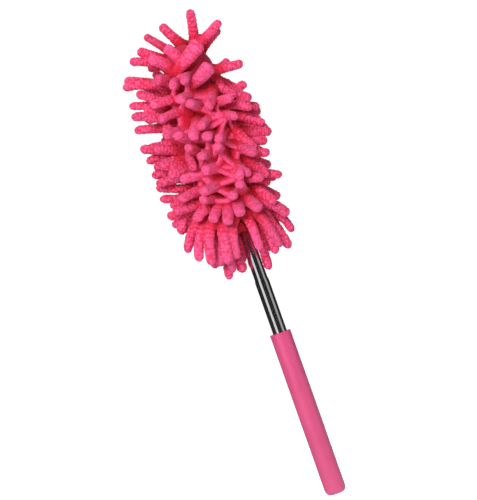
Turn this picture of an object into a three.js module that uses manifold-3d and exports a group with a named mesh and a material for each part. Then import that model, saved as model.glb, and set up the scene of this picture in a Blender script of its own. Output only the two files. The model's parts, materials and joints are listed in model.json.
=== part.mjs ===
// A telescopic chenille duster, standing on the end of its grip, in millimetres with +Z up.
// A foam grip holds the widest of three nested steel tubes. Each moving tube carries a split nylon glide in a
// neck near its foot, and the rolled mouth of the tube around it keeps that glide in. The narrowest tube holds
// a plug with a soft iron wire, and the wire carries a foam core under a fabric sleeve covered in chenille
// strands. The wire bends by hand, so the head is divided at three bend planes, and every ring around the
// wire ends in a cone there, which leaves the room that the bend needs.

import * as THREE from "three";
import { mergeVertices } from "three/addons/utils/BufferGeometryUtils.js";
import Module from "manifold-3d";

const manifold = await Module();
manifold.setup();

// ---- Driving dimensions ----

const ROUND_STEPS = 40; // sides of a turned hard part
const SOFT_STEPS = 32; // sides of a soft ring

const GRIP_LENGTH = 164;
const GRIP_RADIUS = 10.6; // near the foot; the grip narrows a little towards its mouth
const GRIP_MOUTH_RADIUS = 10.3;
const GRIP_FLOOR = 4; // foam below the tube
const GRIP_FACE_RADIUS = 6.5; // the flat at the very end
const GRIP_ROUND = 7; // height of the rounding above that flat
const GRIP_EDGE = 0.6; // the edge of the mouth

const WALL = 0.35; // of every tube
const NEST_STEP = 0.58; // from one tube's radius to the next one's
const LIP_HEIGHT = 3.2; // the rolled mouth
const LIP_BITE = 0.15; // how far the mouth closes inside the bore
const GLIDE_FREE = 0.05; // running gap on each side of a glide
const BEAD_HEIGHT = 2;
const NECK_DEPTH = 0.42; // how far the neck under a glide is drawn in

const OUTER = { radius: 7, foot: 6.3, mouth: 218 };
const MIDDLE = { radius: OUTER.radius - NEST_STEP, foot: 16, mouth: 248, glideLength: 25 };
const INNER = { radius: OUTER.radius - 2 * NEST_STEP, foot: 50, mouth: 300, glideLength: 20 };
const GLIDE_SPLIT = 1.4; // width of the slot along a glide

const WIRE_RADIUS = 2.4;
const WIRE_FOOT = 288.3;
const WIRE_TOP = 443.5;
const WIRE_CLEAR = 0.3; // around the wire where something holds it
const PLUG_FOOT = 262;
const PLUG_FLANGE = 2.7;
const RIVET_HEIGHT = 283;
const RIVET_RADIUS = 1.2;

const BEND_PLANES = [318, 363, 408];
const BEND_LIMIT = THREE.MathUtils.degToRad(25);
const BEND_SLOPE = Math.tan(BEND_LIMIT / 2);
const BEND_GAP = 0.6; // on the axis, to each side of a bend plane

const FOAM_RADIUS = 20.5;
const FOAM_TOP = 436.9;
const TIP_CAP_FOOT = FOAM_TOP + 0.4;
const SLEEVE_RADIUS = 23.5;
const SLEEVE_WALL = 1.6;
const SLEEVE_FOOT = 274;
const SLEEVE_SHOULDER = 289; // where the gathered end has reached its full radius
const SLEEVE_MOUTH_RADIUS = 9.2;
const SLEEVE_TOP = 456;
const DOME_FOOT = 430; // the head's sides are straight up to here
const PILE_CLEAR = 0.5; // between sleeve and strands
const PILE_RADIUS = 60;
const PILE_FOOT = 217;
const PILE_TOP = 492;
const PILE_BORE = 10.5; // the strands hang round the tubes with this much room

// ---- Materials ----

const gripFoam = new THREE.MeshStandardMaterial({ color: 0xe4568f, roughness: 0.75, metalness: 0 });
const steel = new THREE.MeshStandardMaterial({ color: 0xc9ccd1, roughness: 0.12, metalness: 1 });
const nylon = new THREE.MeshStandardMaterial({ color: 0xe9e7e0, roughness: 0.5, metalness: 0 });
const plastic = new THREE.MeshStandardMaterial({ color: 0x2c2d30, roughness: 0.55, metalness: 0 });
const wireIron = new THREE.MeshStandardMaterial({ color: 0x8c9094, roughness: 0.4, metalness: 1 });
const coreFoam = new THREE.MeshStandardMaterial({ color: 0xf2efe6, roughness: 0.95, metalness: 0 });
const backing = new THREE.MeshStandardMaterial({ color: 0xd12a5c, roughness: 0.95, metalness: 0 });
const chenille = new THREE.MeshStandardMaterial({ color: 0xf0407a, roughness: 1, metalness: 0 });

// ---- Shape helpers ----

/** A solid of revolution about +Z from [radius, height] pairs that run up the outside. */
function turned(profile, steps = ROUND_STEPS) {
  const points = profile.map(([radius, height]) => new THREE.Vector2(radius, height));
  return new THREE.LatheGeometry(points, steps).rotateX(Math.PI / 2);
}

/** A turned ring: its profile closes on itself. */
function turnedRing(profile, steps) {
  return turned([...profile, profile[0]], steps);
}

/** A closed geometry as a solid that can be joined and cut. */
function solidOf(geometry) {
  const bare = geometry.clone().deleteAttribute("normal").deleteAttribute("uv");
  const merged = mergeVertices(bare, 1e-4);
  return new manifold.Manifold(
    new manifold.Mesh({
      numProp: 3,
      vertProperties: merged.attributes.position.array,
      triVerts: new Uint32Array(merged.index.array),
    }),
  );
}

/** The geometry of a base solid with the cutters taken away. */
function cut(base, cutters) {
  const result = cutters.reduce((solid, cutter) => solid.subtract(solidOf(cutter)), solidOf(base));
  const mesh = result.getMesh();
  return new THREE.BufferGeometry()
    .setAttribute("position", new THREE.BufferAttribute(mesh.vertProperties, 3))
    .setIndex(new THREE.BufferAttribute(mesh.triVerts, 1));
}

/** Points on a quarter ellipse, from the rim of a dome up to its top on the axis. */
function dome(rim, foot, top) {
  const steps = 6;
  const arc = Array.from({ length: steps }, (_, step) => {
    const angle = (step / steps) * (Math.PI / 2);
    return [rim * Math.cos(angle), foot + (top - foot) * Math.sin(angle)];
  });
  return [...arc, [0, top]];
}

/** Height of the cone that faces a bend plane from below (side -1) or from above (side 1). */
function bendCone(plane, side, radius) {
  return plane + side * (BEND_GAP + radius * BEND_SLOPE);
}

/** Adds a named mesh to a group. */
function place(group, name, geometry, material, height = 0) {
  const mesh = new THREE.Mesh(geometry, material);
  mesh.name = name;
  mesh.position.z = height;
  group.add(mesh);
}

// ---- Grip and tubes ----

/** Foam sleeve, closed and rounded at its foot and cut square at its mouth. */
function grip() {
  const bore = OUTER.radius + 0.1;
  const steps = 5;
  const rounding = Array.from({ length: steps + 1 }, (_, step) => {
    const angle = (step / steps) * (Math.PI / 2);
    const radius = GRIP_FACE_RADIUS + (GRIP_RADIUS - GRIP_FACE_RADIUS) * Math.sin(angle);
    return [radius, GRIP_ROUND * (1 - Math.cos(angle))];
  });
  return turned([
    [0, 0],
    ...rounding,
    [GRIP_MOUTH_RADIUS, GRIP_LENGTH - GRIP_EDGE],
    [GRIP_MOUTH_RADIUS - GRIP_EDGE, GRIP_LENGTH],
    [bore, GRIP_LENGTH],
    [bore, GRIP_FLOOR],
    [0, GRIP_FLOOR],
  ]);
}

/** The rolled mouth shared by the two tubes that hold another one, from outside to inside. */
function rolledMouth(radius, height) {
  const bore = radius - WALL;
  return [
    [radius, height - LIP_HEIGHT],
    [radius - 0.12, height - 1.4],
    [radius - 0.36, height],
    [bore - LIP_BITE, height - 0.6],
    [bore - LIP_BITE, height - 1.8],
    [bore, height - LIP_HEIGHT],
  ];
}

/** The foot of a moving tube: a stop bead, then the neck that the glide sits in. */
function neckedFoot({ radius, glideLength }, side) {
  const neck = radius - NECK_DEPTH - (side === "bore" ? WALL : 0);
  const full = radius - (side === "bore" ? WALL : 0);
  const shoulder = BEAD_HEIGHT + glideLength + 3;
  return [
    [neck, BEAD_HEIGHT + 0.4],
    [neck, shoulder],
    [full, shoulder + 1.6],
  ];
}

function outerTube() {
  const { radius, foot, mouth } = OUTER;
  const length = mouth - foot;
  return turnedRing([[radius, 0], ...rolledMouth(radius, length), [radius - WALL, 0]]);
}

function middleTube() {
  const { radius, foot, mouth } = MIDDLE;
  const length = mouth - foot;
  const bead = radius + 0.16;
  const boreFoot = radius - NECK_DEPTH - WALL;
  return turnedRing([
    [bead, 0],
    [bead, BEAD_HEIGHT],
    ...neckedFoot(MIDDLE, "outside"),
    ...rolledMouth(radius, length),
    ...neckedFoot(MIDDLE, "bore").reverse(),
    [boreFoot, 0],
  ]);
}

function innerTube() {
  const { radius, foot, mouth } = INNER;
  const length = mouth - foot;
  const bead = radius + 0.16;
  const boreFoot = radius - NECK_DEPTH - WALL;
  const tube = turnedRing([
    [bead, 0],
    [bead, BEAD_HEIGHT],
    ...neckedFoot(INNER, "outside"),
    [radius, length],
    [radius - WALL, length],
    ...neckedFoot(INNER, "bore").reverse(),
    [boreFoot, 0],
  ]);
  return cut(tube, [rivetHole(RIVET_HEIGHT - foot)]);
}

/** The hole across a tube or plug that the rivet passes through. */
function rivetHole(height) {
  return new THREE.CylinderGeometry(RIVET_RADIUS + 0.1, RIVET_RADIUS + 0.1, 2 * INNER.radius + 4, 16).translate(
    0,
    0,
    height,
  );
}

/** A nylon sleeve, slotted along one side so that it springs against the tube around it. */
function glide(carrier) {
  const neck = carrier.radius - NECK_DEPTH;
  const bore = neck + GLIDE_FREE;
  const outside = carrier.radius + NEST_STEP - WALL - GLIDE_FREE;
  const ring = turnedRing([
    [outside - 0.15, 0],
    [outside, 0.5],
    [outside, carrier.glideLength - 0.5],
    [outside - 0.15, carrier.glideLength],
    [bore, carrier.glideLength],
    [bore, 0],
  ]);
  const slot = new THREE.BoxGeometry(2 * outside, GLIDE_SPLIT, carrier.glideLength + 2).translate(
    outside,
    0,
    carrier.glideLength / 2,
  );
  return cut(ring, [slot]);
}

/** Plastic plug that closes the outer tube's foot, its flange under the tube's edge. */
function footPlug() {
  const flange = OUTER.radius - 0.05;
  const body = OUTER.radius - WALL - 0.1;
  return turned([
    [0, 0],
    [flange, 0],
    [flange, 1.7],
    [body, 1.7],
    [body, 8.7],
    [body - 0.8, 9.7],
    [0, 9.7],
  ]);
}

/** Plug in the top of the inner tube, with a blind hole for the wire. */
function neckPlug() {
  const body = INNER.radius - WALL - 0.09;
  const boreRadius = WIRE_RADIUS + WIRE_CLEAR;
  const flangeFoot = INNER.mouth + 0.3 - PLUG_FOOT;
  const top = flangeFoot + PLUG_FLANGE;
  const plug = turned([
    [0, 0],
    [body - 0.6, 0],
    [body, 1],
    [body, flangeFoot],
    [INNER.radius, flangeFoot],
    [INNER.radius, top - 0.6],
    [INNER.radius - 0.6, top],
    [boreRadius, top],
    [boreRadius, WIRE_FOOT - 0.3 - PLUG_FOOT],
    [0, WIRE_FOOT - 0.3 - PLUG_FOOT],
  ]);
  return cut(plug, [rivetHole(RIVET_HEIGHT - PLUG_FOOT)]);
}

/** Steel rivet with two low domed heads, lying across the tube along Y. */
function rivet() {
  const seat = INNER.radius + 0.15;
  const profile = [
    [0, -seat - 0.8],
    [1.1, -seat - 0.7],
    [2, -seat],
    [RIVET_RADIUS, -seat],
    [RIVET_RADIUS, seat],
    [2, seat],
    [1.1, seat + 0.7],
    [0, seat + 0.8],
  ];
  const points = profile.map(([radius, height]) => new THREE.Vector2(radius, height));
  return new THREE.LatheGeometry(points, 16);
}

// ---- Head ----

/** The four lengths that the bend planes divide the head into, from the neck up. */
const HEAD_PARTS = ["base", "lower", "middle", "upper"].map((name, index) => ({
  name,
  below: BEND_PLANES[index - 1],
  above: BEND_PLANES[index],
}));

/** One straight length of the wire. */
function wireLength({ below, above }) {
  const foot = below === undefined ? WIRE_FOOT : below + BEND_GAP + 0.5;
  const top = above === undefined ? WIRE_TOP : above - BEND_GAP - 0.5;
  const length = top - foot;
  const rod = new THREE.CylinderGeometry(WIRE_RADIUS, WIRE_RADIUS, length, 12);
  return rod.rotateX(Math.PI / 2).translate(0, 0, foot + length / 2);
}

/** A profile's two corners on a bend cone, or none where that end of the head is shaped by hand. */
function coneEdge(plane, side, radii) {
  return radii.map((radius) => [radius, bendCone(plane, side, radius)]);
}

function foamLength({ below, above }) {
  const bore = WIRE_RADIUS + 0.5;
  const tubeBore = INNER.radius + 0.5;
  const plugTop = INNER.mouth + 0.3 + PLUG_FLANGE + 0.6;
  const foot = below === undefined
    ? [
        [bore, plugTop],
        [tubeBore, plugTop],
        [tubeBore, SLEEVE_SHOULDER + 1.4],
        [FOAM_RADIUS - 0.4, SLEEVE_SHOULDER + 1.4],
      ]
    : coneEdge(below, 1, [bore, FOAM_RADIUS]);
  const top = above === undefined
    ? [
        [FOAM_RADIUS, DOME_FOOT],
        [FOAM_RADIUS - 2, FOAM_TOP],
        [bore, FOAM_TOP],
      ]
    : coneEdge(above, -1, [FOAM_RADIUS, bore]);
  return turnedRing([...foot, ...top], SOFT_STEPS);
}

function sleeveLength({ below, above }) {
  const inside = SLEEVE_RADIUS - SLEEVE_WALL;
  if (above === undefined) {
    return turned(
      [
        ...dome(inside, DOME_FOOT, SLEEVE_TOP - SLEEVE_WALL).reverse(),
        ...coneEdge(below, 1, [inside, SLEEVE_RADIUS]),
        ...dome(SLEEVE_RADIUS, DOME_FOOT, SLEEVE_TOP),
      ],
      SOFT_STEPS,
    );
  }
  if (below === undefined) {
    return turnedRing(
      [
        [SLEEVE_MOUTH_RADIUS, SLEEVE_FOOT],
        [SLEEVE_RADIUS, SLEEVE_SHOULDER],
        ...coneEdge(above, -1, [SLEEVE_RADIUS, inside]),
        [inside, SLEEVE_SHOULDER + 0.8],
        [SLEEVE_MOUTH_RADIUS, SLEEVE_FOOT + 2.2],
      ],
      SOFT_STEPS,
    );
  }
  return turnedRing(
    [...coneEdge(below, 1, [inside, SLEEVE_RADIUS]), ...coneEdge(above, -1, [SLEEVE_RADIUS, inside])],
    SOFT_STEPS,
  );
}

/** The space that the strands of one length of the head fill. */
function pileLength({ below, above }) {
  const inside = SLEEVE_RADIUS + PILE_CLEAR;
  if (below === undefined) {
    return turnedRing(
      [
        [PILE_BORE, PILE_FOOT],
        [30, PILE_FOOT],
        [40, 231],
        [48, 247],
        [56, 268],
        ...coneEdge(above, -1, [PILE_RADIUS - 1, inside]),
        [inside, SLEEVE_SHOULDER - 0.5],
        [PILE_BORE, SLEEVE_FOOT - 0.2],
      ],
      SOFT_STEPS,
    );
  }
  if (above === undefined) {
    return turned(
      [
        ...dome(inside, DOME_FOOT, SLEEVE_TOP + PILE_CLEAR).reverse(),
        ...coneEdge(below, 1, [inside, PILE_RADIUS]),
        ...dome(PILE_RADIUS, DOME_FOOT, PILE_TOP),
      ],
      SOFT_STEPS,
    );
  }
  return turnedRing(
    [...coneEdge(below, 1, [inside, PILE_RADIUS]), ...coneEdge(above, -1, [PILE_RADIUS, inside])],
    SOFT_STEPS,
  );
}

/** Elastic ring in the sleeve's gathered mouth. */
function hemBand() {
  const bore = INNER.radius + 0.4;
  const outside = SLEEVE_MOUTH_RADIUS - 0.4;
  return turnedRing(
    [
      [bore, 0.8],
      [bore + 0.7, 0],
      [outside - 0.7, 0],
      [outside, 0.8],
      [outside, 4.7],
      [outside - 0.7, 5.5],
      [bore + 0.7, 5.5],
      [bore, 4.7],
    ],
    SOFT_STEPS,
  );
}

/** Plastic cap that keeps the wire's end from working through the sleeve. */
function tipCap() {
  const bore = WIRE_RADIUS + WIRE_CLEAR;
  return turned(
    [
      [0, 6.7],
      [bore, 6.7],
      [bore, 0],
      [8, 0],
      [8, 2.7],
      [5.6, 7.8],
      [0, 9.7],
    ],
    SOFT_STEPS,
  );
}

// ---- Assembly: each group moves as one ----

const duster = new THREE.Group();

const handle = new THREE.Group();
place(handle, "grip", grip(), gripFoam);
place(handle, "outer_tube", outerTube(), steel, OUTER.foot);
place(handle, "foot_plug", footPlug(), plastic, GRIP_FLOOR + 0.3);

const middleStage = new THREE.Group();
middleStage.position.z = MIDDLE.foot;
place(middleStage, "middle_glide", glide(MIDDLE), nylon, BEAD_HEIGHT + 1);
place(middleStage, "middle_tube", middleTube(), steel);

const innerStage = new THREE.Group();
innerStage.position.z = INNER.foot - MIDDLE.foot;
place(innerStage, "inner_glide", glide(INNER), nylon, BEAD_HEIGHT + 1);
place(innerStage, "inner_tube", innerTube(), steel);

const head = new THREE.Group();
head.position.z = -INNER.foot;
place(head, "neck_plug", neckPlug(), plastic, PLUG_FOOT);
place(head, "neck_rivet", rivet(), steel, RIVET_HEIGHT);
place(head, "hem_band", hemBand(), backing, SLEEVE_FOOT - 0.5);
place(head, "tip_cap", tipCap(), plastic, TIP_CAP_FOOT);
for (const part of HEAD_PARTS) {
  place(head, `wire_${part.name}`, wireLength(part), wireIron);
  place(head, `foam_${part.name}`, foamLength(part), coreFoam);
  place(head, `sleeve_${part.name}`, sleeveLength(part), backing);
  place(head, `strands_${part.name}`, pileLength(part), chenille);
}

innerStage.add(head);
middleStage.add(innerStage);
duster.add(handle, middleStage);

export default duster;
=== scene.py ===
import json
import math

import bmesh
import bpy
import numpy as np
from mathutils import Matrix, Vector


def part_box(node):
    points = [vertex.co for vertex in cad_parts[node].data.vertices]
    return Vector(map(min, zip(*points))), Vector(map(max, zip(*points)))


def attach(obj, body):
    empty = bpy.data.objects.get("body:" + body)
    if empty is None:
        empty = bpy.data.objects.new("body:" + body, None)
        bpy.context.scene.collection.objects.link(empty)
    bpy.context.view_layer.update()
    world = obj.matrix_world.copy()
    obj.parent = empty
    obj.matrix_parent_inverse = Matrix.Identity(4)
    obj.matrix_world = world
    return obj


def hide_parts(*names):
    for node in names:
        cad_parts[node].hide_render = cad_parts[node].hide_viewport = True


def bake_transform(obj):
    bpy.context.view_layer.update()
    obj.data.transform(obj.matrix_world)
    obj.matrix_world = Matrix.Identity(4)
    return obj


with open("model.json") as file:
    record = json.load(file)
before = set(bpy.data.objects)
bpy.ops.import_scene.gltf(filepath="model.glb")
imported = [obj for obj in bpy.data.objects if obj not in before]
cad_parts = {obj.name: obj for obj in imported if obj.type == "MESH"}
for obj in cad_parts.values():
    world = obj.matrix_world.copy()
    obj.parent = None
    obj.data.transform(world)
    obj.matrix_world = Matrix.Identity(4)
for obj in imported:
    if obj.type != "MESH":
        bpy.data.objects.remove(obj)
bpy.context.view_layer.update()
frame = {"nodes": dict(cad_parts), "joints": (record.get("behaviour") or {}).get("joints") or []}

# A telescopic duster: foam grip, three steel tubes, and a bendable head of fat chenille strands.
# Lengths in this script are in millimetres, and turn into metres where a mesh or object is made.

MM = 0.001
SEED = 2


def top_of(node):
    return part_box(node)[1].z / MM


def foot_of(node):
    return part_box(node)[0].z / MM


def radius_of(node):
    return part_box(node)[1].x / MM


HEM = foot_of("sleeve_base")
SHOULDER = 289
DOME_FOOT = 430
SLEEVE_RADIUS = radius_of("sleeve_lower")
SLEEVE_TOP = top_of("sleeve_upper")

# ---- Stage: camera, light and floor ----

LEAN = math.radians(19.44)  # how far the pole leans to the left in the picture
CAMERA_DISTANCE = 1800
PICTURE_HEIGHT = 481  # what the picture spans at the pole
PICTURE_CENTRE = Vector((-11.3, 0, 252))
SENSOR = 24
LIGHTS_AIM = Vector((0, 0, 0.3))  # in metres
PAPER_WHITE = 1.05  # how bright the world is to the eye
FLOOR_GLOW = 0.95  # and how much light the floor adds to the eye alone


def make_camera():
    camera = bpy.data.objects.new("camera", bpy.data.cameras.new("camera"))
    bpy.context.collection.objects.link(camera)
    camera.data.sensor_width = SENSOR
    camera.data.lens = SENSOR * CAMERA_DISTANCE / PICTURE_HEIGHT
    camera.data.clip_end = 50
    right = Vector((math.cos(LEAN), 0, -math.sin(LEAN)))
    up = Vector((math.sin(LEAN), 0, math.cos(LEAN)))
    back = right.cross(up)
    rotation = Matrix((right, up, back)).transposed().to_4x4()
    place = (PICTURE_CENTRE + back * CAMERA_DISTANCE) * MM
    camera.matrix_world = Matrix.Translation(place) @ rotation
    bpy.context.scene.camera = camera


def softbox(name, place, size, power, lights="cloth", colour=(1, 1, 1)):
    """An area light of a width and height in metres, facing the duster.

    It either lights the cloth or shows in the steel, so that each can be set without the other.
    """
    light = bpy.data.lights.new(name, "AREA")
    light.shape = "RECTANGLE"
    light.size, light.size_y = size
    light.energy = power
    light.color = colour
    holder = bpy.data.objects.new(name, light)
    bpy.context.collection.objects.link(holder)
    holder.location = place
    holder.rotation_euler = (LIGHTS_AIM - Vector(place)).to_track_quat("-Z", "Y").to_euler()
    holder.visible_glossy = lights == "steel"
    holder.visible_diffuse = lights == "cloth"


def make_world():
    """White to the eye, a soft grey fill for cloth and a dark studio for reflections in the steel."""
    world = bpy.data.worlds.new("studio")
    bpy.context.scene.world = world
    world.use_nodes = True
    nodes, links = world.node_tree.nodes, world.node_tree.links
    nodes.clear()
    output = nodes.new("ShaderNodeOutputWorld")
    rays = nodes.new("ShaderNodeLightPath")
    shades = {"fill": (0.275, 0.275, 0.285), "dark": (0.02, 0.02, 0.022), "white": (1, 1, 1)}
    lamps = {}
    for name, shade in shades.items():
        lamps[name] = nodes.new("ShaderNodeBackground")
        lamps[name].inputs["Color"].default_value = (*shade, 1)
    lamps["white"].inputs["Strength"].default_value = PAPER_WHITE
    for_gloss = nodes.new("ShaderNodeMixShader")
    links.new(rays.outputs["Is Glossy Ray"], for_gloss.inputs[0])
    links.new(lamps["fill"].outputs[0], for_gloss.inputs[1])
    links.new(lamps["dark"].outputs[0], for_gloss.inputs[2])
    for_eye = nodes.new("ShaderNodeMixShader")
    links.new(rays.outputs["Is Camera Ray"], for_eye.inputs[0])
    links.new(for_gloss.outputs[0], for_eye.inputs[1])
    links.new(lamps["white"].outputs[0], for_eye.inputs[2])
    links.new(for_eye.outputs[0], output.inputs["Surface"])


def make_floor():
    """A wide pale floor below the duster, bright enough to run into the white behind it."""
    floor = bpy.data.meshes.new("floor")
    half, height = 6, -0.16  # in metres
    corners = [(-half, -half), (half, -half), (half, half), (-half, half)]
    floor.from_pydata([(x, y, height) for x, y in corners], [], [(0, 1, 2, 3)])
    piece = bpy.data.objects.new("floor", floor)
    bpy.context.collection.objects.link(piece)
    paint = bpy.data.materials.new("pale_floor")
    paint.use_nodes = True
    nodes, links = paint.node_tree.nodes, paint.node_tree.links
    nodes.clear()
    rays = nodes.new("ShaderNodeLightPath")
    matt = nodes.new("ShaderNodeBsdfDiffuse")
    matt.inputs["Color"].default_value = (0.8, 0.8, 0.8, 1)
    glow = nodes.new("ShaderNodeEmission")
    total = nodes.new("ShaderNodeAddShader")
    output = nodes.new("ShaderNodeOutputMaterial")
    lift = nodes.new("ShaderNodeMath")
    lift.operation = "MULTIPLY"
    lift.inputs[1].default_value = FLOOR_GLOW
    links.new(rays.outputs["Is Camera Ray"], lift.inputs[0])
    links.new(lift.outputs[0], glow.inputs["Strength"])
    links.new(matt.outputs[0], total.inputs[0])
    links.new(glow.outputs[0], total.inputs[1])
    links.new(total.outputs[0], output.inputs["Surface"])
    floor.materials.append(paint)


make_camera()
make_world()
make_floor()
bpy.context.scene.view_settings.view_transform = "Standard"
# Each with its place and size in metres and its power in watts.
softbox("front", (-0.38, -1.83, 0.9), (0.6, 0.6), 31.5)
softbox("left", (-1.4, -0.9, 0.9), (0.7, 1.2), 1.5)
softbox("top", (0.1, 0.3, 1.9), (1.2, 1.2), 8)
softbox("back", (0.6, 1.7, 0.9), (1.2, 1.2), 19)
softbox("card_left", (-0.98, -1.26, 0.3), (0.95, 2.4), 6, "steel")
softbox("card_right", (1.44, -0.70, 0.3), (1.0, 2.4), 3.2, "steel", (1, 0.93, 0.85))
softbox("card_back", (0, 1.6, 0.3), (0.8, 2.4), 6, "steel")


# ---- Materials ----


def principled(name, **settings):
    """A material with a Principled shader and these constant settings, such as Base_Color or Roughness."""
    paint = bpy.data.materials.new(name)
    paint.use_nodes = True
    shader = paint.node_tree.nodes["Principled BSDF"]
    for socket, value in settings.items():
        shader.inputs[socket.replace("_", " ")].default_value = value
    return paint, shader


def node(paint, kind, links=None, **settings):
    """A new node in a material. Links go from input name to another node's output."""
    made = paint.node_tree.nodes.new(f"ShaderNode{kind}")
    for socket, value in settings.items():
        made.inputs[socket.replace("_", " ")].default_value = value
    for socket, output in (links or {}).items():
        paint.node_tree.links.new(output, made.inputs[socket])
    return made


def pattern_space(paint, stretch):
    """Where a pattern is laid on the object. It is drawn out along an axis where stretch is below 1."""
    where = node(paint, "TexCoord")
    mapping = node(paint, "Mapping", {"Vector": where.outputs["Object"]}, Scale=stretch)
    return {"Vector": mapping.outputs[0]}


def noise(paint, scale, stretch=(1, 1, 1), detail=3, roughness=0.5):
    """Noise with this many lumps to the metre."""
    space = pattern_space(paint, stretch)
    return node(paint, "TexNoise", space, Scale=scale, Detail=detail, Roughness=roughness)


def cells(paint, scale, stretch=(1, 1, 1)):
    """Round cells, this many to the metre."""
    return node(paint, "TexVoronoi", pattern_space(paint, stretch), Scale=scale)


def ramp(paint, source, *stops):
    """A colour ramp from (place, colour) stops."""
    made = node(paint, "ValToRGB", {"Fac": source})
    elements = made.color_ramp.elements
    elements[0].position, elements[0].color = stops[0][0], (*stops[0][1], 1)
    elements[1].position, elements[1].color = stops[-1][0], (*stops[-1][1], 1)
    for place, colour in stops[1:-1]:
        elements.new(place).color = (*colour, 1)
    return made.outputs["Color"]


def grey(paint, source, low, high):
    """A number from low to high, following a source from 0 to 1."""
    made = node(paint, "MapRange", {"Value": source}, To_Min=low, To_Max=high)
    return made.outputs["Result"]


def product(paint, first, second):
    """Two numbers multiplied."""
    made = node(paint, "Math", {0: first, 1: second})
    made.operation = "MULTIPLY"
    return made.outputs[0]


def link(paint, output, shader, socket):
    paint.node_tree.links.new(output, shader.inputs[socket])


def bump(paint, shader, *layers):
    """Bump layers of (height, depth in millimetres), each laid over the one before."""
    normal = None
    for height, depth in layers:
        links = {"Height": height}
        if normal is not None:
            links["Normal"] = normal
        layer = node(paint, "Bump", links, Strength=1, Distance=depth * MM)
        normal = layer.outputs["Normal"]
    link(paint, normal, shader, "Normal")


def attribute(paint, name):
    """A number kept at every point of the mesh."""
    made = node(paint, "Attribute")
    made.attribute_name = name
    return made.outputs["Fac"]


def foam_rubber():
    """Closed-cell pink foam with a fine skin, a little mottled and rubbed shinier in patches."""
    paint, shader = principled("grip_foam", Specular_IOR_Level=0.9)
    mottle = noise(paint, 60, (1, 1, 0.4), 4)
    colour = ramp(paint, mottle.outputs["Fac"], (0.3, (0.63, 0.056, 0.184)), (0.7, (0.72, 0.075, 0.224)))
    link(paint, colour, shader, "Base Color")
    rub = noise(paint, 25, (1, 1, 0.3), 3)
    link(paint, grey(paint, rub.outputs["Fac"], 0.25, 0.39), shader, "Roughness")
    pores = cells(paint, 1300)
    skin = noise(paint, 420, (1, 1, 0.5), 4)
    bump(paint, shader, (skin.outputs["Fac"], 0.10), (pores.outputs["Distance"], 0.05))
    return paint


def polished_steel():
    """Bright drawn steel, with fine lines along the tube and soft smears."""
    paint, shader = principled("tube_steel", Metallic=1, Base_Color=(0.76, 0.76, 0.78, 1))
    smear = noise(paint, 40, (1, 1, 0.25), 4)
    link(paint, grey(paint, smear.outputs["Fac"], 0.05, 0.17), shader, "Roughness")
    lines = noise(paint, 2600, (1, 1, 0.012), 2)
    bump(paint, shader, (lines.outputs["Fac"], 0.002))
    return paint


def moulded_plastic(name, dark, light, roughness):
    """Plastic with a slight mottle and a fine grain."""
    paint, shader = principled(name)
    mottle = noise(paint, 150)
    link(paint, ramp(paint, mottle.outputs["Fac"], (0.3, dark), (0.7, light)), shader, "Base Color")
    link(paint, grey(paint, mottle.outputs["Fac"], roughness - 0.08, roughness + 0.08), shader, "Roughness")
    grain = noise(paint, 2500, detail=2)
    bump(paint, shader, (grain.outputs["Fac"], 0.02))
    return paint


def dull_metal(name, dark, light, roughness):
    """Plated metal with cloudy patches, some duller than others."""
    paint, shader = principled(name, Metallic=1)
    patches = noise(paint, 220, (1, 1, 0.3), 5)
    link(paint, ramp(paint, patches.outputs["Fac"], (0.3, dark), (0.7, light)), shader, "Base Color")
    link(paint, grey(paint, patches.outputs["Fac"], roughness - 0.1, roughness + 0.15), shader, "Roughness")
    bump(paint, shader, (patches.outputs["Fac"], 0.05))
    return paint


def open_foam():
    """Cream open-cell foam with visible pores."""
    paint, shader = principled("core_foam", Roughness=0.95, Specular_IOR_Level=0.2)
    pores = cells(paint, 900)
    colour = ramp(paint, pores.outputs["Distance"], (0.05, (0.52, 0.49, 0.40)), (0.4, (0.88, 0.86, 0.78)))
    link(paint, colour, shader, "Base Color")
    bump(paint, shader, (pores.outputs["Distance"], 0.5))
    return paint


def knitted_backing():
    """Deep pink knit: rows of small loops, with a soft nap, and painted shade darker between the loops.

    It is painted darker below the dome, as shade where it lies between the strands.
    """
    paint, shader = principled(
        "backing_fabric",
        Roughness=0.95,
        Specular_IOR_Level=0.15,
        Sheen_Weight=0.1,
        Sheen_Roughness=0.5,
        Sheen_Tint=(1, 0.55, 0.65, 1),
    )
    loops = cells(paint, 700, (1, 1, 1.6))
    nap = noise(paint, 1500, detail=3)
    colour = ramp(paint, loops.outputs["Distance"], (0.05, (0.68, 0.048, 0.135)), (0.6, (0.54, 0.020, 0.050)))
    where = node(paint, "SeparateXYZ", {"Vector": node(paint, "TexCoord").outputs["Object"]})
    # Painted shade: darker below the dome, between the strands.
    shade = node(paint, "MapRange", {"Value": where.outputs["Z"]}, To_Min=0.62, To_Max=1)
    shade.inputs["From Min"].default_value = (DOME_FOOT - 15) * MM
    shade.inputs["From Max"].default_value = (DOME_FOOT + 5) * MM
    pit_shade = node(paint, "HueSaturation", {"Color": colour, "Value": shade.outputs["Result"]})
    link(paint, pit_shade.outputs["Color"], shader, "Base Color")
    bump(paint, shader, (loops.outputs["Distance"], -0.35), (nap.outputs["Fac"], 0.15))
    return paint


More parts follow.
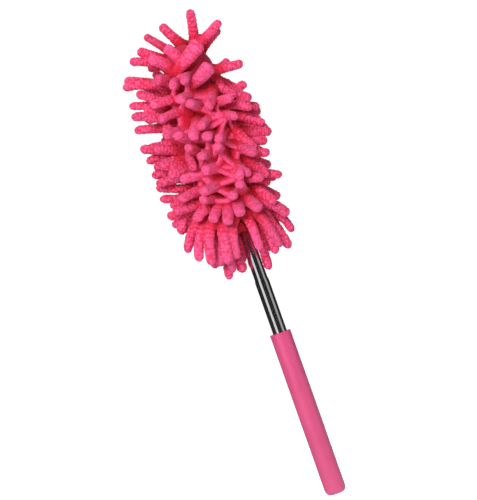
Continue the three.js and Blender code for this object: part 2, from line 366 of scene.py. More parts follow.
def chenille():
    """Hot pink microfibre, with painted shade: deep red between its nubs and near its roots, pale on the tips
    of its nubs and up the strand.
    """
    paint, shader = principled(
        "chenille",
        Roughness=0.92,
        Specular_IOR_Level=0.2,
        Sheen_Weight=0.08,
        Sheen_Roughness=0.5,
        Sheen_Tint=(1, 0.55, 0.70, 1),
    )
    nub, along, tint = (attribute(paint, name) for name in ("nub", "along", "tint"))
    yarn = noise(paint, 900, detail=3)
    loops = cells(paint, 480)
    # Painted shade: low between the nubs and the loops, so the ramp paints those crevices deep red; the yarn
    # noise varies it at random.
    crevice_shade_and_yarn = product(paint, grey(paint, nub, 0.08, 1), grey(paint, yarn.outputs["Fac"], 0.2, 1.2))
    crevice_shade_and_yarn = product(paint, crevice_shade_and_yarn, grey(paint, loops.outputs["Distance"], 1.35, 0.55))
    crevice_shade_and_yarn = product(paint, crevice_shade_and_yarn, grey(paint, along, 0.35, 1))
    # Painted shade: low at the strand roots and fold feet, which the ramp turns deep red, high towards the
    # tips.
    lit = node(paint, "Math", {0: along, 2: crevice_shade_and_yarn})
    lit.operation = "MULTIPLY_ADD"
    lit.inputs[1].default_value = 0.5
    colour = ramp(
        paint,
        lit.outputs[0],
        (0.05, (0.42, 0.005, 0.011)),
        (0.60, (0.76, 0.031, 0.084)),
        (1.0, (0.88, 0.118, 0.312)),
    )
    shift = node(paint, "HueSaturation", {"Color": colour})
    link(paint, grey(paint, tint, 0.88, 1.08), shift, "Value")
    link(paint, shift.outputs["Color"], shader, "Base Color")
    fibres = noise(paint, 2200, detail=4, roughness=0.65)
    bump(
        paint,
        shader,
        (yarn.outputs["Fac"], 0.4),
        (loops.outputs["Distance"], -0.35),
        (fibres.outputs["Fac"], 0.2),
    )
    return paint


FOAM_RUBBER = foam_rubber()
STEEL = polished_steel()
BLACK_PLASTIC = moulded_plastic("black_plastic", (0.012, 0.012, 0.013), (0.03, 0.03, 0.032), 0.5)
NYLON = moulded_plastic("nylon", (0.66, 0.65, 0.58), (0.80, 0.79, 0.74), 0.45)
RIVET_STEEL = dull_metal("rivet_steel", (0.50, 0.50, 0.52), (0.68, 0.68, 0.70), 0.3)
WIRE_IRON = dull_metal("wire_iron", (0.22, 0.22, 0.23), (0.42, 0.42, 0.43), 0.4)
CORE_FOAM = open_foam()
BACKING = knitted_backing()
CHENILLE = chenille()

CREASE = math.radians(40)  # an edge sharper than this stays sharp in a new mesh
CAD_CREASE = math.radians(35)  # and in a CAD solid

for name, paint in {
    "foot_plug": BLACK_PLASTIC,
    "neck_plug": BLACK_PLASTIC,
    "tip_cap": BLACK_PLASTIC,
    "middle_glide": NYLON,
    "inner_glide": NYLON,
    "neck_rivet": RIVET_STEEL,
}.items():
    cad_mesh = frame["nodes"][name].data
    cad_mesh.materials.clear()
    cad_mesh.materials.append(paint)
    cad_mesh.shade_smooth()
    cad_mesh.set_sharp_from_angle(angle=CAD_CREASE)


# ---- Mesh helpers ----


def new_piece(name, points, faces, paint):
    """A mesh object from points in millimetres, with its material."""
    mesh = bpy.data.meshes.new(name)
    mesh.from_pydata((np.asarray(points) * MM).tolist(), [], faces)
    mesh.materials.append(paint)
    piece = bpy.data.objects.new(name, mesh)
    bpy.context.collection.objects.link(piece)
    return piece


def tidy_mesh(piece):
    """Merges the points on the axis, turns the faces outward and shades the round faces smooth."""
    shape = bmesh.new()
    shape.from_mesh(piece.data)
    bmesh.ops.remove_doubles(shape, verts=shape.verts, dist=1e-7)
    bmesh.ops.recalc_face_normals(shape, faces=shape.faces)
    shape.to_mesh(piece.data)
    shape.free()
    piece.data.shade_smooth()
    piece.data.set_sharp_from_angle(angle=CREASE)


def turned(name, profile, paint, steps=96, ripple=None):
    """A body of revolution. A profile off the axis closes on itself.

    ripple(angle, radius, height) says how far the surface stands out from the profile.
    """
    profile = np.array(profile, float)
    angles = np.arange(steps) * 2 * math.pi / steps
    radius = profile[:, :1] * np.ones(steps)
    height = profile[:, 1:] * np.ones(steps)
    if ripple:
        radius = radius + ripple(angles[None, :], radius, height)
    points = np.stack([radius * np.cos(angles), radius * np.sin(angles), height], axis=-1)
    open_profile = profile[0, 0] < 1e-9 and profile[-1, 0] < 1e-9
    rows = len(profile)
    faces = []
    for row in range(rows - 1 if open_profile else rows):
        here, above = row * steps, (row + 1) % rows * steps
        for step in range(steps):
            beside = (step + 1) % steps
            faces.append((here + step, here + beside, above + beside, above + step))
    piece = new_piece(name, points.reshape(-1, 3), faces, paint)
    tidy_mesh(piece)
    return piece


def arc(centre, radii, start, stop, steps=6):
    """Points on an elliptical arc, by angles in degrees from the outward direction."""
    turns = np.radians(np.linspace(start, stop, steps + 1))
    return [(centre[0] + radii[0] * math.cos(a), centre[1] + radii[1] * math.sin(a)) for a in turns]


def stretch(a, b, steps):
    """Points from a towards b, without b."""
    return [tuple(np.array(a) + (np.array(b) - np.array(a)) * step / steps) for step in range(steps)]


# ---- Grip and tubes ----

WALL = 0.35  # of all three tubes
NECK_DEPTH = 0.42  # how far the foot of a moving tube is drawn in for its glide
BEAD = 0.16  # how far the stop bead at that foot stands out
MOVING_TUBES = {"middle": "middle_tube", "inner": "head_base"}  # with the body that each one rides on


def make_grip():
    """A foam sleeve over the widest tube, closed and rounded at its foot and cut square at its mouth."""
    radius, mouth = radius_of("grip"), top_of("grip")
    rim = 10.3  # the radius at the mouth
    bore = radius_of("outer_tube") + 0.1
    face, rounding = 6.5, 7  # the radius of the flat foot, and the height of the rounding
    floor = 4  # how thick the closed foot is
    edge, lip = 0.7, 0.4  # the roundings of the mouth, outside and inside
    profile = [
        (0, 0),
        *stretch((face - 3, 0), (face, 0), 2),
        *arc((face, rounding), (radius - face, rounding), -90, 0, 12),
        *stretch((radius - 0.01, rounding + 4), (rim, mouth - edge), 24),
        *arc((rim - edge, mouth - edge), (edge, edge), 0, 90),
        *arc((bore + lip, mouth - lip), (lip, lip), 90, 180, 4),
        (bore, floor),
        (0, floor),
    ]
    grip = turned("foam_grip", profile, FOAM_RUBBER, 128)
    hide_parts("grip")
    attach(grip, "handle")


def swaged_mouth(radius, height):
    """The mouth of a tube that holds another: drawn in and cut square."""
    collar = radius - 0.20
    bore = radius - WALL
    seat = bore - 0.02
    return [
        *arc((radius - 0.55, height - 2.3), (0.55, 0.9), 0, 30, 3),
        (collar, height - 1.1),
        (collar, height),
        (seat, height),
        (seat, height - 1.5),
        (bore, height - 3.4),
    ]


def necked_foot(radius, glide, side):
    """The drawn-in foot of a moving tube, from its stop bead to the shoulder above its glide.

    A last point above the shoulder keeps the shading of the long straight side level.
    """
    skin = 0 if side == "outside" else WALL
    neck = radius - NECK_DEPTH - skin
    foot = foot_of(glide) - 1
    shoulder = top_of(glide) + 2
    straight = radius - skin
    return [(neck, foot + 0.4), (neck, shoulder), (straight, shoulder + 1.6), (straight, shoulder + 4)]


def make_tubes():
    """The fixed tube and the two moving ones, as turned shells."""
    outer = radius_of("outer_tube")
    foot = foot_of("outer_tube")
    tube = turned(
        "steel_tube_outer",
        [(outer, foot), *swaged_mouth(outer, top_of("outer_tube")), (outer - WALL, foot)],
        STEEL,
    )
    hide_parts("outer_tube")
    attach(tube, "handle")
    for name, body in MOVING_TUBES.items():
        glide, node_name = f"{name}_glide", f"{name}_tube"
        bead = radius_of(node_name)
        radius = bead - BEAD
        foot, mouth = foot_of(node_name), top_of(node_name)
        plain_mouth = [(radius, mouth - 0.2), (radius - 0.1, mouth), (radius - WALL, mouth)]
        tube_mouth = swaged_mouth(radius, mouth) if name == "middle" else plain_mouth
        tube = turned(
            f"steel_tube_{name}",
            [
                (bead - 0.2, foot),
                (bead, foot + 0.3),
                (bead, foot + 1.7),
                (bead - 0.2, foot + 2),
                *necked_foot(radius, glide, "outside"),
                *tube_mouth,
                *necked_foot(radius, glide, "bore")[::-1],
                (radius - NECK_DEPTH - WALL, foot),
            ],
            STEEL,
        )
        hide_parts(node_name)
        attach(tube, body)


make_grip()
make_tubes()


# ---- Head: wire, foam core and sleeve, each in three pieces ----

SLEEVE_WALL = 1.2
FOAM_GAP = 3  # from the sleeve's outside to the foam core
FOAM_BORE = 3  # the radius of the hole for the wire
BENDS = [joint["pos_m"][2] / MM for joint in frame["joints"] if joint["name"].startswith("bend")]
HALF_ZONE = (BENDS[1] - BENDS[0]) / 2
ZONES = [
    {"name": "low", "bodies": ("head_base", "head_lower"), "lengths": ["base"]},
    {"name": "middle", "bodies": ("head_lower", "head_middle"), "lengths": ["lower", "middle"]},
    {"name": "high", "bodies": ("head_middle", "head_upper"), "lengths": ["upper"]},
]
for zone, height in zip(ZONES, BENDS):
    zone["bend"] = height


def bend_with(piece):
    """Bakes the piece's placement into its mesh."""
    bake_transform(piece)


def sleeve_outline(inset):
    """The sleeve's outside, from the gathered mouth to the top, or a line that far inside it."""
    radius = SLEEVE_RADIUS - inset
    gathered = radius_of("hem_band") + 0.9
    return [
        *stretch((gathered, HEM), (radius, SHOULDER - inset), 10),
        *stretch((radius, SHOULDER - inset), (radius, DOME_FOOT), 47),
        *arc((0, DOME_FOOT), (radius, SLEEVE_TOP - inset - DOME_FOOT), 0, 90, 14),
    ]


def cut_between(outline, low, high):
    """The part of an outline between two heights, with a point exactly at each."""
    heights = np.array([point[1] for point in outline])
    inside = [tuple(point) for point in outline if low < point[1] < high]
    ends = [(float(np.interp(cut, heights, [point[0] for point in outline])), cut) for cut in (low, high)]
    first = [ends[0]] if low > heights[0] else [tuple(outline[0])]
    last = [ends[1]] if high < heights[-1] else [tuple(outline[-1])]
    return first + [point for point in inside if point not in first + last] + last


def pleats(angles, radius, height):
    """Gathers that run up from the elastic and die out at the shoulder, and slight lumps above them."""
    fade = np.clip((SHOULDER + 12 - height) / (SHOULDER + 12 - HEM), 0, 1) ** 1.5
    gathers = 0.9 * fade * np.cos(17 * angles + 0.8 * np.sin(3 * angles))
    lumps = 0.25 * np.sin(5 * angles + height / 9) * np.sin(height / 6.5)
    return (gathers + lumps) * np.clip(radius / 12, 0, 1)


def make_sleeve(zone, low, high):
    """A length of the fabric tube. The last one is closed by the dome."""
    outside = cut_between(sleeve_outline(0), low, high)
    inside = cut_between(sleeve_outline(SLEEVE_WALL), low, high)
    profile = outside + inside[::-1]
    sleeve = turned(f"sleeve_fabric_{zone['name']}", profile, BACKING, 96, pleats)
    return sleeve


def make_foam(zone, low, high):
    """A length of the foam core. It starts a little above its CAD solid's foot, clear of the gathers."""
    foot, top = foot_of("foam_base") + 10, top_of("foam_upper")
    radius = SLEEVE_RADIUS - FOAM_GAP
    rounded_top = [(radius - 0.6, top - 3), (radius - 2, top)]
    outside = cut_between([*stretch((radius, foot), (radius, top - 6), 40), *rounded_top], low, high)
    ends = (FOAM_BORE, outside[0][1]), (FOAM_BORE, outside[-1][1])
    inside = [*stretch(*ends, 12), ends[1]]
    return turned(f"foam_core_{zone['name']}", outside + inside[::-1], CORE_FOAM, 64)


def make_wire(zone, low, high):
    """A length of the wire, with rings close enough together to bend smoothly."""
    radius = radius_of("wire_lower")
    column = [(radius, z) for z in np.linspace(foot_of("wire_base"), top_of("wire_upper"), 80)]
    side = cut_between(column, low, high)
    profile = [(0, side[0][1]), *side, (0, side[-1][1])]
    return turned(f"core_wire_{zone['name']}", profile, WIRE_IRON, 24)


def make_core():
    """The sleeve, the foam core and the wire. Each piece is cut halfway between two bends."""
    for zone in ZONES:
        low = zone["bend"] - HALF_ZONE if zone["name"] != "low" else -math.inf
        high = zone["bend"] + HALF_ZONE if zone["name"] != "high" else math.inf
        for kind, make in (("sleeve", make_sleeve), ("foam", make_foam), ("wire", make_wire)):
            piece = make(zone, low, high)
            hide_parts(*[f"{kind}_{length}" for length in zone["lengths"]])
            bend_with(piece)


def make_hem():
    """The ruched edge round the elastic in the sleeve's mouth."""
    foot, top = foot_of("hem_band"), top_of("hem_band")
    radius = radius_of("hem_band")
    inside = radius - 2
    centre = ((radius + inside) / 2, (foot + top) / 2)
    profile = arc(centre, ((radius - inside) / 2, (top - foot) / 2), 0, 360, 16)[:-1]

    def ruching(angles, radius, height):
        return 0.28 * np.cos(17 * angles + 0.8 * np.sin(3 * angles))

    hem = turned("hem_ruffle", profile, BACKING, 136, ruching)
    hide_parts("hem_band")
    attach(hem, "head_base")


make_core()
make_hem()


# ---- Strands ----

STRAND_RADIUS = 4.7
STRAND_LENGTH = 40
FRONT_REACH = math.radians(68)  # how far the front group of strands goes round to each side
ROOT_SPACING = {"front": (13.5, 14.5), "sides": (10.8, 10.4)}  # round the sleeve and up it
ROOT_SCATTER = (0.08, 1.4)  # radians round the sleeve, and millimetres up it
ROOT_DEPTH = 1.5  # how far inside the sleeve's outside a strand starts
NODES = 7  # points that carry a strand's curve while it settles
RINGS = 62  # rings of points along a strand's skin, and points round each
SIDES = 28
CAP_RINGS = 9  # how many of those rings are in the rounded tip
PULL = np.array([-math.sin(LEAN), 0, -math.cos(LEAN)])  # which way is down as the duster is held
SETTLE_STEPS = 140
WEIGHT = 0.12  # how far a strand sinks in each of those steps
STIFFNESS = 0.45  # how much of its bend it takes back
HOLD = 0.4  # how far a guided one goes back to its curve
CLEARANCE = STRAND_RADIUS * 1.85  # how near to each other two strands may come
NUB_PITCH = 2.5
NUB_PATTERNS = 12  # how many different skins the strands share
ROOT_SHADE_REACH = 14  # how far up a strand the painted shade at its root fades
WEB_STEPS = 9  # points along and across a fold between two strands
FOLD_SAG = 3.5  # how far the crest of a fold hangs in at its middle
FOLD_BOW = 2.5  # how far a fold bends to a side

# How strands are combed, in degrees: to which side by how far round from the front they stand, and how far
# up by their height.
COMB_TURNS, COMB_SPREADS = (0, 50, 80, 100, 180), (0, 30, 68, 95, 180)
COMB_HEIGHTS, COMB_RISES = (290, 305, 350, 415, 440), (-34, -14, -6, 0, 8)
LEFT_LIFT = 0.55  # radians that strands on the left point up, and those on the right down
FRONT_LEAN = np.array([-0.28, 0, -0.04])
COMB_SCATTER = 0.22

# Places with no strands, each with its radius: the worn side of the dome, and the sleeve's seam below it.
BARE_SPOTS = [((18, -14, 440), 12), ((13, -20, 422), 8), ((12, -20, 408), 7), ((11, -21, 396), 6)]

# Strands listed one by one, each as its root, the point it is drawn towards and its tip.
CROWN = [
    ((14, 3, 448), (18, 2, 466), (21, 0, 486)), ((5, 4, 453), (-3, 6, 467), (-10, 8, 482)),
    ((-8, 2, 452), (-17, 3, 464), (-28, 3, 477)), ((-15, 6, 446), (-27, 7, 456), (-40, 6, 465)),
    ((-18, -4, 443), (-33, -4, 452), (-50, -6, 456)), ((-2, -20, 434), (-5, -32, 446), (-14, -37, 455)),
    ((-12, -20, 431), (-20, -34, 444), (-32, -37, 450)), ((12, -8, 449), (26, -14, 453), (45, -10, 465)),
    ((17, 4, 446), (29, 5, 452), (42, 4, 460)), ((12, 14, 446), (18, 22, 452), (24, 28, 463)),
    ((-4, 18, 444), (-5, 34, 456), (-6, 50, 456)), ((-14, 14, 440), (-24, 28, 450), (-34, 40, 448)),
    ((16, 16, 438), (20, 34, 442), (22, 50, 434)), ((4, 21, 440), (9, 40, 450), (14, 56, 440)),
    ((-19, -20, 429), (1, -44, 436), (20, -32, 450)), ((-7, -24, 412), (6, -44, 415), (22, -38, 426)),
]  # fmt: skip
LEAVES = 2  # how many of the last strands in that list are narrow at the root and wide at the tip
FRINGE = [
    ((-21, -8, 298), (-42, -14, 294), (-57, -12, 263)), ((-19, -12, 291), (-38, -20, 286), (-49, -18, 252)),
    ((-16, -16, 290), (-30, -26, 286), (-40, -22, 244)), ((-12, -16, 287), (-19, -31, 280), (-26, -24, 239)),
    ((-7, -18, 287), (-15, -24, 280), (-23, -10, 232)), ((-3, -17, 285), (-11, -29, 280), (-15, -22, 241)),
    ((6, -16, 285), (8, -27, 277), (8, -20, 243)), ((12, -14, 285), (18, -25, 280), (28, -18, 239)),
    ((15, -8, 285), (27, -12, 278), (34, -8, 235)), ((9, 4, 277), (13, 8, 262), (12, 8, 224)),
    ((-9, 6, 277), (-20, 10, 262), (-27, 6, 227)), ((-9, -5, 277), (-13, -8, 262), (-14, -6, 230)),
    ((-23, -3, 306), (-44, -8, 306), (-58, -6, 282)), ((-21, 6, 293), (-40, 8, 290), (-51, 6, 268)),
    ((-14, 8, 280), (-28, 14, 270), (-39, 14, 242)), ((19, -14, 300), (32, -20, 292), (43, -14, 266)),
    ((16, 8, 285), (30, 16, 278), (34, 18, 243)), ((8, 16, 285), (16, 30, 278), (16, 28, 238)),
    ((-2, 18, 285), (-4, 34, 278), (-9, 30, 236)), ((-12, 14, 286), (-24, 28, 280), (-31, 28, 246)),
    ((18, 2, 288), (34, 4, 282), (43, 2, 250)), ((2, 12, 276), (4, 22, 262), (-5, 18, 230)),
    ((-2, -11, 276), (-20, -14, 270), (-32, -8, 241)), ((12, -4, 277), (22, -8, 266), (21, -8, 236)),
    ((-18, -14, 300), (-31, -28, 301), (-40, -33, 290)), ((-12, -19, 297), (-19, -35, 295), (-25, -44, 284)),
    ((-5, -22, 294), (-9, -38, 289), (-13, -47, 277)), ((3, -22, 296), (3, -38, 292), (2, -48, 282)),
    ((11, -20, 296), (16, -35, 291), (20, -42, 281)),
]  # fmt: skip

# Where the tips at both edges come to rest, from the top down.
EDGE_TIPS = [
    (-61, 4, 442), (-65, -8, 434), (-65, 8, 419), (-66, -10, 405), (-68, 4, 393), (-68, -8, 375),
    (-67, 6, 361), (-66, -4, 348), (-66, 8, 336), (-66, -8, 324), (-65, 6, 308), (-64, -4, 297),
    (-60, 6, 285),
    (40, 14, 430), (52, -4, 420), (49, 8, 403), (50, -4, 386), (51, 6, 363), (50, -6, 344),
    (46, 8, 319), (45, -8, 304), (43, 8, 286),
]  # fmt: skip

rng = np.random.default_rng(SEED)


def frontness(normals):
    """1 for a strand at the front of the head, falling to 0 at the ends of the front group's reach."""
    away = np.arctan2(np.abs(normals[..., 0]), -normals[..., 1])
    steepness = 1.6
    return np.clip(steepness * (1 - away / FRONT_REACH), 0, 1)


def unit(vectors):
    """The same directions, one long."""
    return vectors / np.linalg.norm(vectors, axis=-1, keepdims=True)


def strand_roots():
    """Roots in staggered rows up the sleeve, then the listed ones, with the outward normal at each."""
    roots, normals = [], []
    for group, low in (("front", 304), ("sides", 297)):
        pitch, rise = ROOT_SPACING[group]
        count = round(2 * math.pi * SLEEVE_RADIUS / pitch)
        for row, height in enumerate(np.arange(low, DOME_FOOT, rise)):
            turns = (np.arange(count) + 0.5 * (row % 2)) * 2 * math.pi / count
            for turn in (turns + math.pi) % (2 * math.pi) - math.pi:
                if (abs(turn) < FRONT_REACH) != (group == "front"):
                    continue
                turn, z = turn + rng.normal(0, ROOT_SCATTER[0]), height + rng.normal(0, ROOT_SCATTER[1])
                out = np.array([math.sin(turn), -math.cos(turn), 0])
                root = out * (SLEEVE_RADIUS - ROOT_DEPTH) + [0, 0, z]
                if all(np.linalg.norm(root - spot) > size for spot, size in BARE_SPOTS):
                    roots.append(root)
                    normals.append(out)
    for root, _, _ in FRINGE + CROWN:
        middle = np.clip(root[2], SHOULDER + 4, DOME_FOOT - 6)
        roots.append(np.array(root, float))
        normals.append(unit(root - np.array([0, 0, middle])))
    return np.array(roots), np.array(normals)


def combed(roots, normals):
    """Which way each strand sets off.

    The duster lies on its back: strands at the front stand up, and those at the sides lie level, as it is
    held, and sag towards the mouth.
    """
    turn = np.arctan2(normals[:, 0], -normals[:, 1])
    spread = np.interp(np.abs(turn), np.radians(COMB_TURNS), np.radians(COMB_SPREADS)) * np.sign(turn)
    out = np.stack([np.sin(spread), -np.cos(spread), 0 * spread], axis=-1)
    rise = np.interp(roots[:, 2], COMB_HEIGHTS, np.radians(COMB_RISES))
    tilt = rise * (1 - 0.7 * frontness(normals)) - LEFT_LIFT * out[:, 0]
    start = out * np.cos(tilt)[:, None] + np.array([0, 0, 1]) * np.sin(tilt)[:, None]
    start = start + frontness(normals)[:, None] * FRONT_LEAN
    return unit(start + rng.normal(0, COMB_SCATTER, start.shape))


def push_apart(nodes):
    """Moves nodes of different strands away from each other where they are too close."""
    count = len(nodes)
    flat = nodes[:, 1:].reshape(-1, 3)
    owner = np.repeat(np.arange(count), NODES - 1)
    square = (flat**2).sum(1)
    distance = square[:, None] + square[None] - 2 * flat @ flat.T
    first, second = np.nonzero(distance < CLEARANCE * CLEARANCE)
    keep = (first < second) & (owner[first] != owner[second])
    first, second = first[keep], second[keep]
    apart = flat[first] - flat[second]
    length = np.linalg.norm(apart, axis=1, keepdims=True) + 1e-6
    move = apart / length * (CLEARANCE - length) * 0.35  # a third of the overlap, for each of the two
    change = np.zeros_like(flat)
    np.add.at(change, first, move)
    np.add.at(change, second, -move)
    nodes[:, 1:] += change.reshape(count, NODES - 1, 3)


def keep_outside(nodes):
    """Keeps the strands off the sleeve, and off the tubes below it."""
    free = nodes[:, 2:]
    radius = np.linalg.norm(free[..., :2], axis=-1)
    outline = np.array(sleeve_outline(0))
    solid = np.interp(free[..., 2], outline[:, 1], outline[:, 0], left=radius_of("outer_tube"), right=0)
    least = solid + STRAND_RADIUS * 0.9
    short = (radius < least) & (free[..., 2] < DOME_FOOT)
    scale = np.where(short, least / np.maximum(radius, 1e-6), 1)
    free[..., :2] *= scale[..., None]


def settle(nodes, lengths, weight, curl, guided):
    """Lets the strands hang, bend and find room next to each other. Guided ones keep near their own curve."""
    link_length = (lengths / (NODES - 1))[:, None]
    chosen = np.array(sorted(guided))
    curves = np.array([guided[index] for index in chosen])
    for _ in range(SETTLE_STEPS):
        nodes[:, 2:] += PULL * weight[:, None, None] * np.linspace(0.3, 1, NODES - 2)[:, None]
        for k in range(2, NODES):
            ahead = unit(nodes[:, k - 1] - nodes[:, k - 2]) + curl
            aim = nodes[:, k - 1] + unit(ahead) * link_length
            nodes[:, k] += STIFFNESS * (aim - nodes[:, k])
        nodes[chosen, 1:] += HOLD * (curves[:, 1:] - nodes[chosen, 1:])
        push_apart(nodes)
        keep_outside(nodes)
        for k in range(1, NODES):
            nodes[:, k] = nodes[:, k - 1] + unit(nodes[:, k] - nodes[:, k - 1]) * link_length
    return nodes


def guides(roots, start):
    """Curves for the listed strands, which come last, and for the nearest strand to each edge tip."""
    laid = FRINGE + CROWN
    reach = 30  # how far along its first direction a strand's tip is looked for
    first = len(roots) - len(laid)
    lines = {first + order: np.array(line, float) for order, line in enumerate(laid)}
    for tip in np.array(EDGE_TIPS, float):
        away = np.linalg.norm(roots + start * reach - tip, axis=1)
        nearest = next(int(index) for index in np.argsort(away) if int(index) not in lines)
        root = roots[nearest]
        ahead = unit(0.5 * start[nearest] + unit(tip - root))
        lines[nearest] = np.array([root, root + 0.45 * np.linalg.norm(tip - root) * ahead, tip])
    spots = np.linspace(0, 1, NODES)[:, None]
    return {
        index: (1 - spots) ** 2 * root + 2 * spots * (1 - spots) * knee + spots**2 * tip
        for index, (root, knee, tip) in lines.items()
    }


def nub_pattern(lengthwise, round_about):
    """Heights from 0 to 1 over one strand's skin: rows of short ribs that never quite line up."""
    rows = int(STRAND_LENGTH * 1.3 / NUB_PITCH)  # a third more than on the side, to cover the tip
    girth = 2 * math.pi * STRAND_RADIUS
    count = round(girth / NUB_PITCH / 1.6)  # a rib is longer round the strand than along it
    row, place = np.meshgrid(np.arange(rows), np.arange(count), indexing="ij")
    z = (row + 0.5) * NUB_PITCH + rng.normal(0, 0.4, row.shape)
    s = (place + 0.5 * (row % 2)) * girth / count + rng.normal(0, 0.8, row.shape)
    size = rng.uniform(0.8, 1.15, row.shape).ravel() * NUB_PITCH
    dz = (lengthwise[..., None] - z.ravel()) / (0.58 * size)
    ds = ((round_about[..., None] - s.ravel() + girth / 2) % girth - girth / 2) / (1.15 * size)
    height = rng.uniform(0.6, 1, row.shape).ravel()
    return np.clip((1 - dz**2 - ds**2) * height, 0, 1).max(axis=-1)


def curve_weights(places):
    """Catmull-Rom weights that turn the nodes of a strand into points at these places from 0 to 1."""
    spans = NODES - 1
    weights = np.zeros((len(places), NODES))
    for row, place in enumerate(places):
        start = min(int(place * spans), spans - 1)
        t = place * spans - start
        factors = (
            (-t + 2 * t**2 - t**3) / 2,
            (2 - 5 * t**2 + 3 * t**3) / 2,
            (t + 4 * t**2 - 3 * t**3) / 2,
            (-(t**2) + t**3) / 2,
        )
        for offset, factor in zip((-1, 0, 1, 2), factors):
            at = start + offset
            if at < 0:
                weights[row, 0] += 2 * factor
                weights[row, 1] -= factor
            elif at >= NODES:
                weights[row, -1] += 2 * factor
                weights[row, -2] -= factor
            else:
                weights[row, at] += factor
    return weights


def strand_skin(nodes, normals):
    """The points of every strand's skin, as strands by rings by sides, with the nub height at each."""
    cap_turn = np.linspace(0, math.pi / 2 * 0.97, CAP_RINGS)  # a small fan closes what is left
    cap_share = STRAND_RADIUS / STRAND_LENGTH
    body = np.linspace(0, 1 - cap_share, RINGS - CAP_RINGS, endpoint=False)
    places = np.concatenate([body, 1 - cap_share + cap_share * np.sin(cap_turn)])
    centre = np.einsum("rn,snk->srk", curve_weights(places), nodes)
    tangent = unit(np.gradient(centre, axis=1))
    sides = [unit(np.cross(tangent[:, 0], rng.normal(size=(len(nodes), 3))))]
    for ring in range(1, RINGS):
        side = sides[-1] - (sides[-1] * tangent[:, ring]).sum(-1, keepdims=True) * tangent[:, ring]
        sides.append(unit(side))
    side = np.stack(sides, axis=1)
    other = np.cross(tangent, side)

    lean = np.concatenate([np.zeros(len(body)), cap_turn])
    flare, flare_length, narrowing = 0.75, 6, 0.12  # the widening at the root, and the taper to the tip
    taper = 1 + flare * np.exp(-body * STRAND_LENGTH / flare_length) - narrowing * body
    radius = STRAND_RADIUS * np.concatenate([taper, taper[-1] * np.cos(cap_turn)])
    angles = np.arange(SIDES) * 2 * math.pi / SIDES
    wide, thin = 1.08, 0.93  # a strand is a little oval
    radial = wide * side[:, :, None] * np.cos(angles)[:, None]
    radial = radial + thin * other[:, :, None] * np.sin(angles)[:, None]
    normal = radial * np.cos(lean)[:, None, None] + tangent[:, :, None] * np.sin(lean)[:, None, None]

    tip_length = (1 - cap_share) * STRAND_LENGTH + cap_turn * STRAND_RADIUS
    skin_length = np.concatenate([body * STRAND_LENGTH, tip_length])[:, None]
    skin = skin_length + 0 * angles, angles * STRAND_RADIUS + 0 * skin_length
    patterns = [nub_pattern(*skin) for _ in range(NUB_PATTERNS)]
    nubs = np.stack([patterns[index % NUB_PATTERNS] for index in range(len(nodes))])
    front = frontness(normals)[:, None, None, None]
    girth = rng.uniform(0.94, 1.12, (len(nodes), 1, 1, 1)) + 0.1 * front
    leaf = np.zeros((len(nodes), 1))
    leaf[-LEAVES:] = 1
    girth = girth * (1 + leaf * (1.1 * places - 0.5))[..., None, None]  # half as wide, to 1.6 times
    points = centre[:, :, None] + radial * radius[:, None, None] * girth
    nub_height = 0.8 - 0.35 * front
    points = points + normal * nub_height * (nubs - 0.5)[..., None]
    nubs = nubs + 0.4 * front[..., 0] * (0.8 - nubs)  # the painted shade between the nubs is weaker at the front
    return points, nubs, places


def grid_faces(first, rows, columns, closed):
    """Quads over a grid of points whose numbers start at first. A closed grid wraps round its columns."""
    across = columns if closed else columns - 1
    row, column = np.meshgrid(np.arange(rows - 1), np.arange(across), indexing="ij")
    beside = (column + 1) % columns
    here, above = row * columns, (row + 1) * columns
    corners = np.stack([here + column, here + beside, above + beside, above + column], axis=-1)
    return (corners.reshape(-1, 4) + first).tolist()


def strand_faces(count):
    """Faces for that many strands in a row: quads between rings and a fan at each end."""
    size = RINGS * SIDES + 2
    step = np.arange(SIDES)
    beside = (step + 1) % SIDES
    last = (RINGS - 1) * SIDES
    root_fan = np.stack([beside, step, np.full(SIDES, size - 2)], axis=-1)
    tip_fan = np.stack([last + step, last + beside, np.full(SIDES, size - 1)], axis=-1)
    faces = []
    for first in range(0, count * size, size):
        faces += grid_faces(first, RINGS, SIDES, closed=True)
        faces += (root_fan + first).tolist()
        faces += (tip_fan + first).tolist()
    return faces


def webs(feet, crests, normals, sag):
    """Folds of cloth, each drawn up between two places: folds by rows by columns of points, and their rise.

    feet, crests and normals hold a pair of vectors for each fold.
    """
    t = np.linspace(0, 1, WEB_STEPS)[:, None, None]
    v = np.linspace(-1, 1, WEB_STEPS)[:, None]

    def between(pairs):
        return pairs[:, 0, None, None] * (1 - t) + pairs[:, 1, None, None] * t

    out = unit(between(normals))
    crest = between(crests) - out * sag * 4 * t * (1 - t)
    rise = np.cos(v * math.pi / 2) ** 0.42  # steep sides and a blunt crest
    across = unit(np.cross((feet[:, 1] - feet[:, 0])[:, None, None], out))
    bow = rng.normal(0, FOLD_BOW, len(feet))[:, None, None, None] * 4 * t * (1 - t)
    half_width = 3.7 + 1.4 * (2 * t - 1) ** 2  # more at each end, where it meets a strand
    spread_foot = 2.2 * v * (1 - rise) ** 2
    sideways = half_width * np.sin(v * math.pi / 2) + spread_foot + bow
    points = between(feet) + (crest - between(feet)) * rise + across * sideways
    return points, np.broadcast_to(rise, points.shape[:3] + (1,))[..., 0]


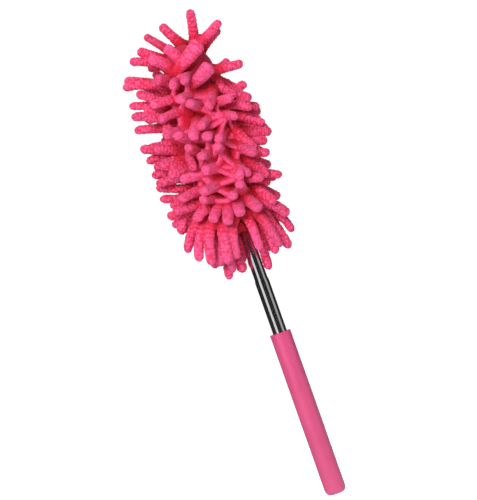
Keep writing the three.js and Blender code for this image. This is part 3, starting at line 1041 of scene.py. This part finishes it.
def strand_piece(name, points, nubs, places, tints, folds, folds_rise):
    """One mesh of strands and the folds between them, with the nub height, rise and tint at every point. The
    nub height and rise carry painted shade, deep red between nubs, at roots and at fold feet.
    """
    count = len(points)
    ends = np.stack([points[:, 0].mean(axis=1), points[:, -1].mean(axis=1)], axis=1)
    vertices = np.concatenate([points.reshape(count, -1, 3), ends], axis=1).reshape(-1, 3)
    faces = strand_faces(count)
    for order in range(len(folds)):
        faces += grid_faces(len(vertices) + order * WEB_STEPS**2, WEB_STEPS, WEB_STEPS, closed=False)
    piece = new_piece(name, np.concatenate([vertices, folds.reshape(-1, 3)]), faces, CHENILLE)
    # Painted shade: deep red at a strand's root, fading up it.
    rise = 1 - np.exp(-((places * STRAND_LENGTH / ROOT_SHADE_REACH) ** 2))
    size = folds_rise.size
    skin_nubs = np.concatenate([nubs.reshape(count, -1), np.full((count, 2), 0.5)], axis=1)
    # The folds' values paint shade too: deep red at their feet, pale at their crests.
    values = {
        "nub": (skin_nubs, np.full(size, 0.6)),
        "along": (np.tile(np.append(np.repeat(rise, SIDES), [0, 1]), (count, 1)), folds_rise**3),
        "tint": (np.repeat(tints[:, None], RINGS * SIDES + 2, axis=1), np.full(size, 0.5)),
    }
    for key, (on_strands, on_folds) in values.items():
        layer = piece.data.attributes.new(key, "FLOAT", "POINT")
        both = np.concatenate([on_strands.ravel(), on_folds.ravel()])
        layer.data.foreach_set("value", both.astype(np.float32))
    piece.data.shade_smooth()
    return piece


def neighbours(roots, normals):
    """Most of the pairs of strands that stand next to each other, each pair once."""
    distance = np.linalg.norm(roots[:, None] - roots[None], axis=-1)
    front = frontness(normals)
    reach = 15 + 6 * front
    pairs = np.argwhere(np.triu(distance < np.maximum(reach[:, None], reach), 1))
    chance = 0.5 + 0.3 * front[pairs].mean(axis=1)
    return pairs[rng.uniform(size=len(pairs)) < chance]


def make_folds(roots, normals, nodes):
    """The folds between neighbouring strands, apart from the listed strands.

    A fold's crest joins two points a little way up its strands, further at the front.
    """
    in_rows = len(roots) - len(FRINGE + CROWN)
    pairs = neighbours(roots[:in_rows], normals[:in_rows])
    height = rng.uniform(0.2, 1, len(nodes)) + 1.7 * frontness(normals)
    high = np.stack([curve_weights([(1 + up) / (NODES - 1)]) @ line for up, line in zip(height, nodes)])[:, 0]
    return webs(roots[pairs], high[pairs], normals[pairs], FOLD_SAG)


def make_strands():
    """Lays, settles and skins all the strands, and cuts them into a piece for each bend and each end."""
    roots, normals = strand_roots()
    count = len(roots)
    start = combed(roots, normals)
    guided = guides(roots, start)
    # Strands are a little longer on the left and at the mouth, and shorter at the front.
    lengths = STRAND_LENGTH * rng.uniform(0.93, 1.07, count) * (1 - 0.07 * normals[:, 0])
    lengths = lengths * np.interp(roots[:, 2], [276, 292], [1.1, 1]) * (1 - 0.1 * frontness(normals))
    spots = np.linspace(0, 1, NODES)
    nodes = roots[:, None] + start[:, None] * (lengths[:, None] * spots)[..., None]
    for index, curve in guided.items():
        nodes[index] = curve
        lengths[index] = np.linalg.norm(np.diff(curve, axis=0), axis=1).sum()
    curl = rng.normal(0, 0.05, (count, 3))
    weight = WEIGHT - WEIGHT * frontness(normals)
    nodes = settle(nodes, lengths, weight, curl, guided)
    points, nubs, places = strand_skin(nodes, normals)
    tints = rng.uniform(0, 1, count)
    folds, folds_rise = make_folds(roots, normals, nodes)
    fold_heights = folds[:, WEB_STEPS // 2, 0, 2]

    heights = roots[:, 2]
    edges = [-math.inf, *(bend - HALF_ZONE for bend in BENDS), BENDS[-1] + HALF_ZONE, math.inf]
    names = ["strands_fringe", "strands_low", "strands_mid", "strands_high", "strands_crown"]
    for name, low, high in zip(names, edges, edges[1:]):
        mine = (heights >= low) & (heights < high)
        near = (fold_heights >= low) & (fold_heights < high)
        strands = points[mine], nubs[mine], places, tints[mine]
        piece = strand_piece(name, *strands, folds[near], folds_rise[near])
        if name == "strands_fringe":
            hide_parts("strands_base")
            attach(piece, "head_base")
        elif name == "strands_crown":
            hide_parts("strands_upper")
            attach(piece, "head_upper")
        else:
            if name == "strands_mid":
                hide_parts("strands_lower", "strands_middle")
            bend_with(piece)


make_strands()
